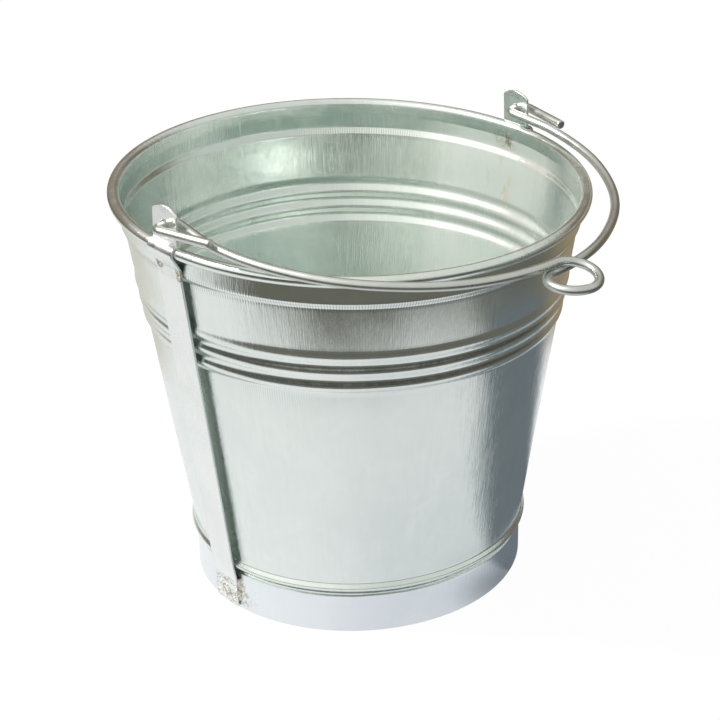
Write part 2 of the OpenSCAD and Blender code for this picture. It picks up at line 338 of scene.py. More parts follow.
def galvanised(name, coords="round", light=(0.80, 0.84, 0.85), dark=(0.62, 0.66, 0.67), rough=(0.24, 0.42),
               crinkle=1.0, crinkle_wide=260.0, mottle=1.0, dents=1.0, metallic=0.95, stain=0.35, chatter=0.0, marks=()):
    """Hot-dip zinc on rolled steel: satin, mottled, with a fine crinkle up the sheet."""
    m = Nodes(name)
    tc = m.new("ShaderNodeTexCoord")
    obj = tc.outputs["Object"]
    if coords == "round":
        # around the axis the noise follows azimuth, so that streaks run up the tapered wall
        sep = m.new("ShaderNodeSeparateXYZ")
        m.link(obj, sep.inputs[0])
        flat = m.vec(sep.outputs[0], sep.outputs[1], 0.0)
        nn = m.new("ShaderNodeVectorMath", operation="NORMALIZE")
        m.link(flat, nn.inputs[0])
        s2 = m.new("ShaderNodeSeparateXYZ")
        m.link(nn.outputs[0], s2.inputs[0])
        streak_v = m.vec(s2.outputs[0], s2.outputs[1], m.math("MULTIPLY", sep.outputs[2], 0.28))
        streak_long = m.vec(s2.outputs[0], s2.outputs[1], m.math("MULTIPLY", sep.outputs[2], 0.9))
        k_fine, k_mid = crinkle_wide, 46.0
    else:
        uvn = m.new("ShaderNodeUVMap")
        sep = m.new("ShaderNodeSeparateXYZ")
        m.link(uvn.outputs[0], sep.inputs[0])
        streak_v = m.vec(m.math("MULTIPLY", sep.outputs[0], 7.5), m.math("MULTIPLY", sep.outputs[1], 0.9), 0.0)
        streak_long = m.vec(m.math("MULTIPLY", sep.outputs[0], 7.5), m.math("MULTIPLY", sep.outputs[1], 2.5), 0.0)
        k_fine, k_mid = crinkle_wide, 46.0
    fine = m.noise(streak_v, k_fine, 2.0, 0.5, 0.35)
    mid = m.noise(streak_long, k_mid, 3.0, 0.6, 0.2)
    cloud = m.noise(obj, 26.0, 4.0, 0.62, 0.6, ramp=(0.32, 0.68))
    grain = m.noise(obj, 900.0, 2.0, 0.6)
    grainy = 1.0 if coords == "round" else 0.5
    spangle = m.new("ShaderNodeTexVoronoi", feature="F1")
    m.link(obj, spangle.inputs["Vector"])
    spangle.inputs["Scale"].default_value = 190.0
    sp = m.new("ShaderNodeSeparateColor")
    m.link(spangle.outputs["Color"], sp.inputs[0])
    # colour
    tone = m.math("ADD", m.math("MULTIPLY", cloud, 0.55 * mottle), m.math("MULTIPLY", mid, 0.45), clamp=True)
    tone = m.math("ADD", tone, m.math("MULTIPLY", m.math("SUBTRACT", sp.outputs[0], 0.5), 0.10 * mottle), clamp=True)
    base = m.mix(m.remap(tone, 0.15, 0.85), rgb(*dark), rgb(*light))
    spots = m.noise(obj, 70.0, 5.0, 0.7, 0.8, ramp=(0.60, 0.74))
    base = m.mix(m.math("MULTIPLY", spots, stain), base, rgb(dark[0] * 0.80, dark[1] * 0.76, dark[2] * 0.70))
    # roughness
    r = m.mixf(m.remap(cloud, 0.0, 1.0), rough[0], rough[1])
    r = m.math("ADD", r, m.math("MULTIPLY", m.math("SUBTRACT", sp.outputs[1], 0.5), 0.05 * mottle))
    r = m.math("ADD", r, m.math("MULTIPLY", m.math("SUBTRACT", mid, 0.5), 0.10), clamp=True)
    # relief
    n1 = m.bump(fine, 0.55 * crinkle, 0.00022)
    n2 = m.bump(mid, 0.35 * dents, 0.0009, n1)
    n3 = m.bump(grain, 0.16 * grainy, 0.00006, n2)
    if chatter:
        # fine upright marks left by the rolls, strongest beside the swaged features
        az = m.math("ARCTAN2", sep.outputs[1], sep.outputs[0])
        wob = m.math("MULTIPLY", m.noise(obj, 30.0, 2.0, 0.5), 9.0)
        wave = m.math("SINE", m.math("ADD", m.math("MULTIPLY", az, 540.0), wob))
        z = sep.outputs[2]
        near = m.math("MULTIPLY", m.remap(z, 0.2465, 0.2500), m.remap(z, 0.2572, 0.2556))
        wall = m.math("MULTIPLY", m.remap(z, 0.2190, 0.2240), m.remap(z, 0.2510, 0.2490))
        under = m.math("MULTIPLY", m.remap(z, 0.1700, 0.1860), m.remap(z, 0.1905, 0.1880))
        patchy = m.noise(obj, 24.0, 3.0, 0.6, ramp=(0.38, 0.62))
        mask = m.math("MAXIMUM", near, m.math("MULTIPLY", m.math("MAXIMUM", m.math("MULTIPLY", wall, 0.30), m.math("MULTIPLY", under, 0.35)), m.math("ADD", m.math("MULTIPLY", patchy, 0.8), 0.2)))
        n3 = m.bump(m.math("MULTIPLY", m.math("MULTIPLY", wave, mask), 0.5), 0.35 * chatter, 0.00010, n3)
        tick = m.math("MULTIPLY", m.remap(wave, -0.2, 0.9), mask)
        base = m.mix(m.math("MULTIPLY", tick, 0.42 * chatter), base, rgb(dark[0] * 0.45, dark[1] * 0.45, dark[2] * 0.45))
        r = m.math("ADD", r, m.math("MULTIPLY", m.remap(z, 0.2655, 0.2672), 0.07))
        # inside the bucket: a painted sunlit patch (paler, less metallic) on the wall facing +X, and painted shade
        # (darker teal) on the wall facing 112 degrees
        geo = m.new("ShaderNodeNewGeometry")
        way = m.new("ShaderNodeVectorMath", operation="DOT_PRODUCT")
        m.link(geo.outputs["Normal"], way.inputs[0])
        m.link(nn.outputs[0], way.inputs[1])
        inner = m.math("MULTIPLY", m.math("LESS_THAN", way.outputs["Value"], -0.2), m.math("LESS_THAN", z, 0.2640))
        r = m.math("SUBTRACT", r, m.math("MULTIPLY", inner, 0.035))
        ragged = m.math("MULTIPLY", m.math("SUBTRACT", m.noise(streak_long, 9.0, 3.0, 0.6, 0.2), 0.5), 0.06)
        d = m.new("ShaderNodeVectorMath", operation="DOT_PRODUCT")
        m.link(nn.outputs[0], d.inputs[0])
        d.inputs[1].default_value = (math.cos(math.radians(3)), math.sin(math.radians(3)), 0.0)
        # painted sunlit patch: where the lamp's light falls on the inner wall, the wall is made paler and less
        # metallic
        painted_sunlit_patch = m.math("MULTIPLY", inner, m.remap(m.math("ADD", d.outputs["Value"], ragged), 0.860, 0.975))
        metallic = m.math("SUBTRACT", metallic, m.math("MULTIPLY", painted_sunlit_patch, 0.26))
        brush = m.noise(streak_v, 230.0, 2.0, 0.6, 0.1, ramp=(0.40, 0.64))
        brushed = m.math("MULTIPLY", m.math("MULTIPLY", inner, brush), m.noise(obj, 13.0, 2.0, 0.5, 0.3, ramp=(0.44, 0.58)))
        base = m.mix(painted_sunlit_patch, base, rgb(0.93, 0.94, 0.91))
        # painted shade: the inner wall on the lamp's side, in the rim's shadow, is darkened towards teal
        painted_shade_side = m.math("MULTIPLY", inner, facing(m, nn.outputs[0], 112, 0.55, 0.99))
        base = m.mix(m.math("MULTIPLY", painted_shade_side, 0.75), base, rgb(0.62, 0.685, 0.66))
        base = m.mix(m.math("MULTIPLY", brushed, 0.30), base, rgb(0.52, 0.57, 0.55))
    for mark in marks:
        base, r = mark(m, obj, base, r)
    bs = m.new("ShaderNodeBsdfPrincipled")
    m.put(bs.inputs["Base Color"], base)
    m.put(bs.inputs["Metallic"], metallic)
    m.put(bs.inputs["Roughness"], r)
    m.put(bs.inputs["Normal"], n3)
    return m.finish(bs.outputs[0])


def weld_metal(name):
    """Rough zinc-coated weld: pale grey lumps with brown specks in the hollows."""
    m = Nodes(name)
    tc = m.new("ShaderNodeTexCoord")
    obj = tc.outputs["Object"]
    a = m.noise(obj, 380.0, 4.0, 0.7, 0.8, ramp=(0.36, 0.60))
    b = m.noise(obj, 1100.0, 3.0, 0.6, 0.2)
    base = m.mix(a, rgb(0.30, 0.26, 0.19), rgb(0.80, 0.79, 0.72))
    base = m.mix(m.noise(obj, 240.0, 3.0, 0.6, 0.5, ramp=(0.56, 0.70)), base, rgb(0.42, 0.36, 0.25))
    bs = m.new("ShaderNodeBsdfPrincipled")
    m.put(bs.inputs["Base Color"], base)
    m.put(bs.inputs["Metallic"], 0.55)
    m.put(bs.inputs["Roughness"], m.mixf(a, 0.65, 0.42))
    m.put(bs.inputs["Normal"], m.bump(b, 0.5, 0.0002))
    return m.finish(bs.outputs[0])


def spot(m, obj, centre, size, lo, hi):
    """A soft ellipsoidal mask about a point, with a ragged edge."""
    mp = m.new("ShaderNodeMapping")
    m.link(obj, mp.inputs["Vector"])
    mp.inputs["Location"].default_value = tuple(-c * MM / (q * MM) for c, q in zip(centre, size))
    mp.inputs["Scale"].default_value = tuple(1 / (q * MM) for q in size)
    ln = m.new("ShaderNodeVectorMath", operation="LENGTH")
    m.link(mp.outputs[0], ln.inputs[0])
    rag = m.math("MULTIPLY", m.math("SUBTRACT", m.noise(obj, 210.0, 4.0, 0.7, 0.6), 0.5), 1.6)
    return m.remap(m.math("ADD", ln.outputs["Value"], rag), hi, lo)


def weld_smudge(m, obj, base, r):
    """Where the right strap's spot welds have burnt through: brown-grey dabs inside the collar and pale runs below."""
    dab = m.math("MULTIPLY", spot(m, obj, (143.0, 6.0, 261.5), (18, 10.0, 7.0), 0.5, 1.15), m.noise(obj, 160.0, 4.0, 0.7, 0.4, ramp=(0.42, 0.60)))
    mp = m.new("ShaderNodeMapping")
    m.link(obj, mp.inputs["Vector"])
    mp.inputs["Scale"].default_value = (1.0, 1.0, 0.05)
    run = m.math("MULTIPLY", spot(m, obj, (141.0, 3.0, 238.0), (22, 15.0, 24.0), 0.5, 1.15), m.noise(mp.outputs[0], 170.0, 2.0, 0.5, 0.0, ramp=(0.56, 0.66)))
    base = m.mix(m.math("MULTIPLY", dab, 0.92), base, rgb(0.33, 0.28, 0.20))
    base = m.mix(m.math("MULTIPLY", run, 0.80), base, rgb(0.86, 0.78, 0.60))
    r = m.math("ADD", r, m.math("MULTIPLY", dab, 0.25))
    r = m.math("ADD", r, m.math("MULTIPLY", run, 0.16))
    return base, r


def foot_soil(m, obj, base, r):
    """Brown flux specks round the left strap's foot."""
    dab = m.math("MULTIPLY", spot(m, obj, (-109.0, 5.0, 10.5), (14, 20.0, 13.0), 0.5, 1.15), m.noise(obj, 300.0, 4.0, 0.75, 0.6, ramp=(0.50, 0.58)))
    base = m.mix(m.math("MULTIPLY", dab, 0.85), base, rgb(0.40, 0.34, 0.25))
    return base, m.math("ADD", r, m.math("MULTIPLY", dab, 0.25))


MAT_SHEET = galvanised("galvanised_sheet", light=(0.82, 0.855, 0.825), dark=(0.75, 0.79, 0.765), rough=(0.10, 0.19),
                       mottle=0.6, stain=0.10, crinkle=0.8, dents=0.42, chatter=1.0, marks=(weld_smudge,))
MAT_FLOOR = galvanised("galvanised_floor", light=(0.80, 0.83, 0.80), dark=(0.68, 0.71, 0.69), crinkle=0.25, mottle=1.1, stain=0.25)
MAT_HOOP = galvanised("galvanised_hoop", light=(0.84, 0.87, 0.88), dark=(0.78, 0.81, 0.83), crinkle=0.3, rough=(0.16, 0.26),
                      mottle=0.6, stain=0.08, dents=0.5, marks=(foot_soil,))
MAT_WIRE = galvanised("galvanised_wire", coords="flat", light=(0.66, 0.675, 0.65), dark=(0.585, 0.60, 0.575),
                      crinkle=0.03, dents=0.06, mottle=0.5, rough=(0.27, 0.33), stain=0.08)
MAT_RIMWIRE = galvanised("rim_wire_steel", light=(0.55, 0.56, 0.56), dark=(0.35, 0.36, 0.36), crinkle=0.0, rough=(0.4, 0.55))
MAT_WELD = weld_metal("weld_metal")


# ---------------------------------------------------------------- body
def outer_profile():
    """The sheet's outer face from the collar down to the skirt, as (r, z)."""
    p = [(COLLAR_R, z) for z in np.linspace(BEAD_Z, SHOULDER_Z, 9)[:-1]]
    p += [(ease(COLLAR_R, line_r(NECK_Z) + UPPER_OUT, t), SHOULDER_Z - 5.0 * t) for t in np.linspace(0, 1, 13)[:-1]]
    p += [(line_r(z) + UPPER_OUT, z) for z in np.linspace(NECK_Z, 221.0, 14)[:-1]]
    for (z0, o0), (z1, o1) in zip(KNOTS[:-1], KNOTS[1:]):
        p += [(line_r(z0 + (z1 - z0) * t) + ease(o0, o1, t), z0 + (z1 - z0) * t) for t in np.linspace(0, 1, 11)[:-1]]
    p += [(line_r(z), z) for z in np.linspace(188.0, BEAD_HI, 56)[:-1]]
    p += [(line_r(z) + ease(0, BOTTOM_BEAD, t), z) for t, z in ((t, BEAD_HI + (BEAD_MID - BEAD_HI) * t) for t in np.linspace(0, 1, 12)[:-1])]
    r_mid = line_r(BEAD_MID) + BOTTOM_BEAD
    p += [(ease(r_mid, SKIRT_R, t), BEAD_MID + (BEAD_LO - BEAD_MID) * t) for t in np.linspace(0, 1, 14)]
    p += [(SKIRT_R, z) for z in np.linspace(BEAD_LO, SKIRT_Z, 6)[1:]]
    return np.array(p)


def body_shift(A, r, z):
    """The sheet is not perfectly round: slow waves of a few tenths of a millimetre, none at the rim or the foot."""
    fade = np.clip((262.0 - z) / 30.0, 0, 1) * np.clip((z - 34.0) / 25.0, 0, 1)
    w = (0.11 * np.sin(5 * A + 0.6 + z * 0.013) + 0.075 * np.sin(9 * A + 2.1 - z * 0.021)
         + 0.05 * np.sin(17 * A + 4.0 + z * 0.035) + 0.03 * np.sin(29 * A + 1.0 + z * 0.06))
    lower = np.clip((186.0 - z) / 20.0, 0, 1)
    w = w + lower * 0.05 * np.sin(3 * A + z * 0.045 + 1.2)
    return w * fade, np.zeros_like(w)


def build_body():
    out = outer_profile()
    inner = out - np.array([SHEET, 0.0])
    # the curl runs from the collar over the top, round the outside and back underneath
    ang = np.radians(np.linspace(180.0, -106.0, 46))
    big = np.stack([BEAD_C + BEAD_R * np.cos(ang), BEAD_Z + BEAD_R * np.sin(ang)], 1)
    small = np.stack([BEAD_C + (BEAD_R - SHEET) * np.cos(ang), BEAD_Z + (BEAD_R - SHEET) * np.sin(ang)], 1)
    # going round the sheet's section: inner face up, curl outside, curl inside back, outer face down
    loop = np.concatenate([inner[::-1], big[1:], small[::-1][:-1], out])
    v, f, A = revolve(loop, 360, body_shift)
    return make_mesh("bucket_body", v, f, "bucket", ("bucket_wall",), MAT_SHEET, sharp=42)


def build_rim_wire():
    a = np.linspace(0, 2 * PI, 20, endpoint=False)
    r = BEAD_R - SHEET - 0.05
    loop = np.stack([BEAD_C + r * np.cos(a), BEAD_Z + r * np.sin(a)], 1)
    v, f, _ = revolve(loop, 180)
    return make_mesh("rim_core_wire", v, f, "bucket", ("rim_wire",), MAT_RIMWIRE)


def build_foot():
    def shift(A, r, z):
        top = np.clip((z - 24.0) / 3.0, 0, 1)
        edge = 0.10 * np.sin(11 * A + 0.5) + 0.07 * np.sin(23 * A + 2.0) + 0.05 * np.sin(41 * A)
        wave = 0.07 * np.sin(6 * A + 1.0) + 0.04 * np.sin(14 * A)
        return wave * 0 + 0.0 * r, top * edge

    R, t = FOOT_R, 1.0
    prof = [(R - t, 27.0 - 0.2), (R - t + 0.2, 27.0), (R - 0.3, 27.0), (R - 0.08, 26.9), (R, 26.6)]
    prof += [(R, z) for z in np.linspace(25.0, 1.2, 12)]
    prof += [(R, 0.45), (R - 0.12, 0.12), (R - 0.45, 0.0), (R - t + 0.3, 0.0), (R - t + 0.08, 0.1), (R - t, 0.4)]
    prof += [(R - t, z) for z in np.linspace(1.2, 25.0, 10)]
    v, f, _ = revolve(prof[::-1], 360, shift)
    return make_mesh("foot_hoop", v, f, "bucket", ("foot_ring",), MAT_HOOP)


def build_floor():
    fr, c, fz, em = SKIRT_R - SHEET - 0.05, 3.0, 27.0, 1.2
    top = [(r, fz + 0.25 * (1 - (r / 54.5) ** 2) * -1.0) for r in np.linspace(0.6, 54.5, 24)[:-1]]
    top += [(54.5 + 6 * t, fz + ease(0, em, t)) for t in np.linspace(0, 1, 9)[:-1]]
    top += [(r, fz + em) for r in np.linspace(60.5, 78.48, 10)[:-1]]
    top += [(78.48 + 6 * t, fz + ease(em, 0, t)) for t in np.linspace(0, 1, 9)[:-1]]
    top += [(r, fz) for r in np.linspace(84.48, fr - c, 10)[:-1]]
    top += [(fr - c + c * math.sin(a), fz - c + c * math.cos(a)) for a in np.linspace(0, PI / 2, 10)]
    top += [(fr, z) for z in np.linspace(fz - c, 9.0, 6)[1:]]
    top = np.array(top)
    under = top.copy()
    # the underside follows the top one sheet thickness below
    d = np.gradient(top, axis=0)
    d /= np.linalg.norm(d, axis=1)[:, None]
    under = top + np.stack([d[:, 1], -d[:, 0]], 1) * SHEET
    m = len(top)
    count = 192
    loop = np.concatenate([top, under[::-1]])
    v, f, A = revolve(loop, count, closed=False)
    k = len(loop)
    # the rotation leaves a small hole at the middle of both faces, and an open lower edge
    f += [tuple(i * k for i in range(count))[::-1], tuple(i * k + k - 1 for i in range(count))]
    return make_mesh("pressed_floor", v, f, "bucket", ("floor_disc",), MAT_FLOOR, sharp=42)


# ---------------------------------------------------------------- straps
def corner(a, b, c, r, n=8):
    a, b, c = map(lambda q: np.array(q, float), (a, b, c))
    u, v = (a - b) / np.linalg.norm(a - b), (c - b) / np.linalg.norm(c - b)
    half = math.acos(max(-1, min(1, float(u @ v)))) / 2
    d = r / math.tan(half)
    p, q = b + u * d, b + v * d
    o = b + (u + v) / np.linalg.norm(u + v) * r / math.sin(half)
    a0, a1 = math.atan2(p[1] - o[1], p[0] - o[0]), math.atan2(q[1] - o[1], q[0] - o[0])
    da = (a1 - a0 + PI) % (2 * PI) - PI
    return [tuple(o + r * np.array([math.cos(a0 + da * i / n), math.sin(a0 + da * i / n)])) for i in range(n + 1)]


def strap_path():
    cx = COLLAR_R + 0.05 + STRAP_T / 2
    fx = FOOT_R + 0.05 + STRAP_T / 2
    br = BEAD_R + 0.05 + STRAP_T / 2
    q = SHOULDER_Z + 3.5
    dx, dz = BEAD_C - cx, BEAD_Z - q
    ba = math.atan2(dx, dz) + math.asin(br / math.hypot(dx, dz))
    f0, f1 = (fx, 1.5), (fx, 17.0)
    f2 = (line_r(BEAD_MID) + BOTTOM_BEAD + 0.25 + STRAP_T / 2, BEAD_MID)
    f3, f4 = (cx, SHOULDER_Z - 3.5), (cx, q)
    bow = [(BEAD_C + br * math.cos(a), BEAD_Z + br * math.sin(a)) for a in np.linspace(-ba, math.radians(80), 26)]
    e0 = bow[-1]
    e1 = (EAR_X, e0[1] + (e0[0] - EAR_X) * math.tan(math.radians(10)))
    e2 = (EAR_X, 290.0)
    pts = [f0] + corner(f0, f1, f2, 8) + corner(f1, f2, f3, 12) + corner(f2, f3, f4, 10, 6) + corner(f3, f4, bow[0], 3)
    pts += bow + corner(e0, e1, e2, STRAP_T / 2 + 0.15, 10)
    pts += [(EAR_X, 278.6)]
    pts = np.array(pts)
    # fill the long straights
    out = [pts[0]]
    for a, b in zip(pts[:-1], pts[1:]):
        n = max(1, int(np.linalg.norm(b - a) / 2.5))
        for i in range(1, n + 1):
            out.append(a + (b - a) * i / n)
    out = np.array(out)
    keep = np.concatenate([[True], np.linalg.norm(np.diff(out, axis=0), axis=1) > 1e-4])
    return out[keep]


PATH = strap_path()


def path_normals(p):
    d = np.gradient(p, axis=0)
    d /= np.linalg.norm(d, axis=1)[:, None]
    return np.stack([d[:, 1], -d[:, 0]], 1)  # points away from the bucket


PATH_N = path_normals(PATH)
PATH_S = np.concatenate([[0], np.cumsum(np.linalg.norm(np.diff(PATH, axis=0), axis=1))])


def lean_and_wrap(p, side, centre_r=None):
    """Points of a strap drawn upright on +X (x, width, z), leaned about the ear hole and laid round the body.
    side is +1 for the right strap and -1 for the left one."""
    x, y, z = p[:, 0], p[:, 1], p[:, 2]
    dz = z - PIVOT_Z
    y1 = y * math.cos(LEAN) + dz * math.sin(LEAN)
    z1 = PIVOT_Z - y * math.sin(LEAN) + dz * math.cos(LEAN)
    yc = dz * math.sin(LEAN)
    w = y1 - yc
    phi = np.arcsin(np.clip(yc / x, -1, 1)) * np.clip((276.0 - z) / 20.0, 0, 1)
    yy = np.where(z > 276.0, yc, 0.0)
    X = x * np.cos(phi) - w * np.sin(phi)
    Y = x * np.sin(phi) + w * np.cos(phi)
    Y = Y + yc * (1 - np.clip((276.0 - z) / 20.0, 0, 1))
    return np.stack([side * X, side * Y, z1], 1)


def build_strap(side, name, node):
    half, T = STRAP_W / 2, STRAP_T / 2
    cols = np.linspace(-half, half, 12)
    # flat strip, then the ear plate laid out round its hole
    grid2d, faces2d, frame2d = [], [], []
    # each 2-D point carries (path x, path z, normal x, normal z, width, distance along)
    for i in range(len(PATH)):
        for w in cols:
            grid2d.append((PATH[i, 0], PATH[i, 1], PATH_N[i, 0], PATH_N[i, 1], w, PATH_S[i]))
    nc = len(cols)
    for i in range(len(PATH) - 1):
        for j in range(nc - 1):
            faces2d.append((i * nc + j, i * nc + j + 1, (i + 1) * nc + j + 1, (i + 1) * nc + j))
    base = (len(PATH) - 1) * nc
    z0 = PATH[-1, 1]
    s0 = PATH_S[-1]
    top_z = EAR_TOP
    arc = (half ** 2 + EAR_ARCH ** 2) / (2 * EAR_ARCH)
    ring = [("row", base + j) for j in range(nc)]
    side_z = np.linspace(z0, EAR_TOP - EAR_ARCH, 9)[1:]
    right = [(half, z) for z in side_z]
    th = math.asin(half / arc)
    top = [(arc * math.sin(a), top_z - arc + arc * math.cos(a)) for a in np.linspace(th, -th, 14)[1:-1]]
    left = [(-half, z) for z in side_z[::-1]]
    outline = [(grid2d[base + j][4], z0) for j in range(nc)] + right + top + left
    start = len(grid2d)
    ids = [base + j for j in range(nc)]
    for w, z in outline[nc:]:
        ids.append(len(grid2d))
        grid2d.append((EAR_X, z, 1.0, 0.0, w, s0 + z - z0))
    hole = [math.atan2(z - PIVOT_Z, w) for w, z in outline]
    prev = ids
    n = len(outline)
    for k in (0.45, 0.72, 0.88, 1.0):
        cur = []
        for (w, z), a in zip(outline, hole):
            hw, hz = HOLE_R * math.cos(a), PIVOT_Z + HOLE_R * math.sin(a)
            cur.append(len(grid2d))
            ww, zz = w + (hw - w) * k, z + (hz - z) * k
            grid2d.append((EAR_X, zz, 1.0, 0.0, ww, s0 + zz - z0))
        for i in range(n):
            j = (i + 1) % n
            faces2d.append((prev[i], prev[j], cur[j], cur[i]))
        prev = cur
    hole_ids = prev
    g = np.array(grid2d)
    N = len(g)

    def layer(off):
        x = g[:, 0] + g[:, 2] * off
        z = g[:, 1] + g[:, 3] * off
        return np.stack([x, g[:, 4], z], 1)

    both = np.concatenate([layer(T), layer(-T)])
    v = lean_and_wrap(both, side)
    faces = [tuple(reversed(f)) for f in faces2d] + [tuple(i + N for i in f) for f in faces2d]
    # walls: left and right edges, foot end, ear outline, hole
    edge = [(i * nc) for i in range(len(PATH))]
    edge_r = [(i * nc + nc - 1) for i in range(len(PATH))]
    for a, b in zip(edge[:-1], edge[1:]):
        faces.append((a, b, b + N, a + N))
    for a, b in zip(edge_r[:-1], edge_r[1:]):
        faces.append((b, a, a + N, b + N))
    for j in range(nc - 1):
        faces.append((j + 1, j, j + N, j + 1 + N))
    loop = ids[nc - 1:] + [ids[0]]
    for a, b in zip(loop[:-1], loop[1:]):
        faces.append((b, a, a + N, b + N))
    for i in range(n):
        a, b = hole_ids[i], hole_ids[(i + 1) % n]
        faces.append((a, b, b + N, a + N))
    if side < 0:
        pass
    uv = np.stack([np.concatenate([g[:, 4], g[:, 4] + 40]), np.concatenate([g[:, 5], g[:, 5]])], 1) * MM
    ob = make_mesh(name, v, faces, "bucket", (node,), MAT_STRAP, uv=uv, sharp=35)
    add_bevel(ob, 0.32, 2, 50)
    return ob


# ---------------------------------------------------------------- handle
def handle_path():
    hb, al, rho, fa, leg_free = 4.5, math.radians(8), 45.0, math.radians(11), 37.0
    R, v0 = ARC_R, ARC_V
    pin_in, pin_out = EAR_X - 2.75, EAR_X + 3.25
    bx, by = pin_in - hb * math.cos(al), hb + hb * math.sin(al)
    phi = math.acos((bx * math.cos(al) + (v0 - by) * math.sin(al) - rho) / (R - rho)) - al
    cx, cy = (R - rho) * math.cos(phi), v0 + (R - rho) * math.sin(phi)
    leg = (cx - bx) * math.sin(al) + (cy - by) * math.cos(al)
    pts = []
    end = (pin_out + hb * math.cos(fa), hb + hb * math.sin(fa))
    for s in np.linspace(leg_free, 0, 24)[:-1]:
        pts.append((end[0] - s * math.sin(fa), end[1] + s * math.cos(fa)))
    for a in np.linspace(fa, -PI / 2, 16)[:-1]:
        pts.append((pin_out + hb * math.cos(a), hb + hb * math.sin(a)))
    for t in np.linspace(pin_out, pin_in, 6)[:-1]:
        pts.append((t, 0.0))
    for a in np.linspace(1.5 * PI, PI - al, 16)[:-1]:
        pts.append((pin_in + hb * math.cos(a), hb + hb * math.sin(a)))
    for s in np.linspace(0, leg, 16)[:-1]:
        pts.append((bx + s * math.sin(al), by + s * math.cos(al)))
    for a in np.linspace(-al, phi, 12)[:-1]:
        pts.append((cx + rho * math.cos(a), cy + rho * math.sin(a)))
    for a in np.linspace(phi, PI / 2, 120):
        pts.append((R * math.cos(a), v0 + R * math.sin(a)))
    half = np.array(pts)
    # the free leg and its bend are turned up about the pin
    half = np.column_stack([half, np.zeros(len(half))])
    up, k = math.radians(6.0), 24 + 15 - 1
    half[:k, 2] = -half[:k, 1] * math.sin(up)
    half[:k, 1] = half[:k, 1] * math.cos(up)
    lift = WIRE_R + 0.1
    tw = math.asin(lift / (R + v0))
    c, s = math.cos(tw), math.sin(tw)
    hx, hy, hz = half.T
    right = np.stack([hx, hy * c - hz * s, hy * s + hz * c], 1)
    left = np.stack([-hx, hy * c + hz * s, -hy * s + hz * c], 1)
    lr = LOOP_R
    y0 = (R + v0) * c
    y1 = y0 + 2 * lr
    r = math.hypot(2 * lr, lift) / 2
    tip = math.asin(lift / (2 * r))

    def half_loop(a0, a1, t):
        a = np.linspace(a0, a1, 46)
        q = np.stack([r * np.cos(a), r * np.sin(a) - r, 0 * a], 1)
        return np.stack([q[:, 0], q[:, 1] * math.cos(t) - q[:, 2] * math.sin(t) + y1,
                         q[:, 1] * math.sin(t) + q[:, 2] * math.cos(t)], 1)

    # from the right half the wire crosses over, goes up the loop's left side, over its top and down its right side
    up_left = half_loop(1.5 * PI, PI / 2, -tip)
    down_right = half_loop(PI / 2, -PI / 2, tip)
    path = np.concatenate([right, up_left[1:], down_right[1:], left[::-1][1:]])
    return path


def build_handle():
    p = handle_path()
    # a hand-bent wire is never quite even
    s = np.concatenate([[0], np.cumsum(np.linalg.norm(np.diff(p, axis=0), axis=1))])
    fade = np.clip((np.minimum(s, s[-1] - s) - 70) / 60.0, 0, 1) * np.clip((np.abs(s - s[-1] / 2) - 75) / 40.0, 0, 1)
    d = 0.22 * np.sin(s / 23.0 + 0.4) + 0.15 * np.sin(s / 11.0 + 2.0)
    rad = np.hypot(p[:, 0], p[:, 1] - ARC_V)
    p[:, 0] += fade * d * p[:, 0] / np.maximum(rad, 1)
    p[:, 1] += fade * d * (p[:, 1] - ARC_V) / np.maximum(rad, 1)
    p[:, 2] += fade * 0.15 * np.sin(s / 31.0 + 1.0)
    v, f, uv = sweep(p, WIRE_R, 32)
    t = math.radians(180.0 + REST_TILT)
    c, sn = math.cos(t), math.sin(t)
    w = np.stack([v[:, 0], v[:, 1] * c - v[:, 2] * sn, v[:, 1] * sn + v[:, 2] * c + PIVOT_Z], 1)
    return make_mesh("wire_handle", w, f, "handle", ("bail",), MAT_WIRE, uv=uv, sharp=50)


# ---------------------------------------------------------------- welds
def patch(name, place, nu, nv, height, body="bucket", slot="weld_metal", stands_for=(), material=None, sink=0.35):
    """A closed lump on a surface. place(u, v, h) gives the point at height h above the surface; height(u, v) is in mm
    and falls below zero at the patch's edge, so that the lump's rim is buried."""
    u, v = np.meshgrid(np.linspace(-1, 1, nu), np.linspace(-1, 1, nv), indexing="ij")
    u, v = u.ravel(), v.ravel()
    top = place(u, v, height(u, v))
    bottom = place(u, v, np.full(len(u), -sink))
    f = []
    N = nu * nv
    for i in range(nu - 1):
        for j in range(nv - 1):
            a, b, c, d = i * nv + j, (i + 1) * nv + j, (i + 1) * nv + j + 1, i * nv + j + 1
            f.append((a, b, c, d))
            f.append((d + N, c + N, b + N, a + N))
    border = ([i * nv for i in range(nu)] + [(nu - 1) * nv + j for j in range(1, nv)]
              + [i * nv + nv - 1 for i in range(nu - 2, -1, -1)] + [j for j in range(nv - 2, 0, -1)])
    for a, b in zip(border, border[1:] + border[:1]):
        f.append((b, a, a + N, b + N))
    return np.concatenate([top, bottom]), f


def join(parts):
    vs, fs, k = [], [], 0
    for v, f in parts:
        vs.append(v)
        fs += [tuple(i + k for i in q) for q in f]
        k += len(v)
    return np.concatenate(vs), fs


def strap_surface(w, s, h, side):
    """The point h above a strap's outer face, at width w and distance s along it."""
    x = np.interp(s, PATH_S, PATH[:, 0])
    z = np.interp(s, PATH_S, PATH[:, 1])
    nx = np.interp(s, PATH_S, PATH_N[:, 0])
    nz = np.interp(s, PATH_S, PATH_N[:, 1])
    o = STRAP_T / 2 + h
    return lean_and_wrap(np.stack([x + nx * o, w, z + nz * o], 1), side)


def s_at(z):
    return float(np.interp(z, PATH[:, 1][: np.argmax(PATH[:, 1] > 262)], PATH_S[: np.argmax(PATH[:, 1] > 262)]))


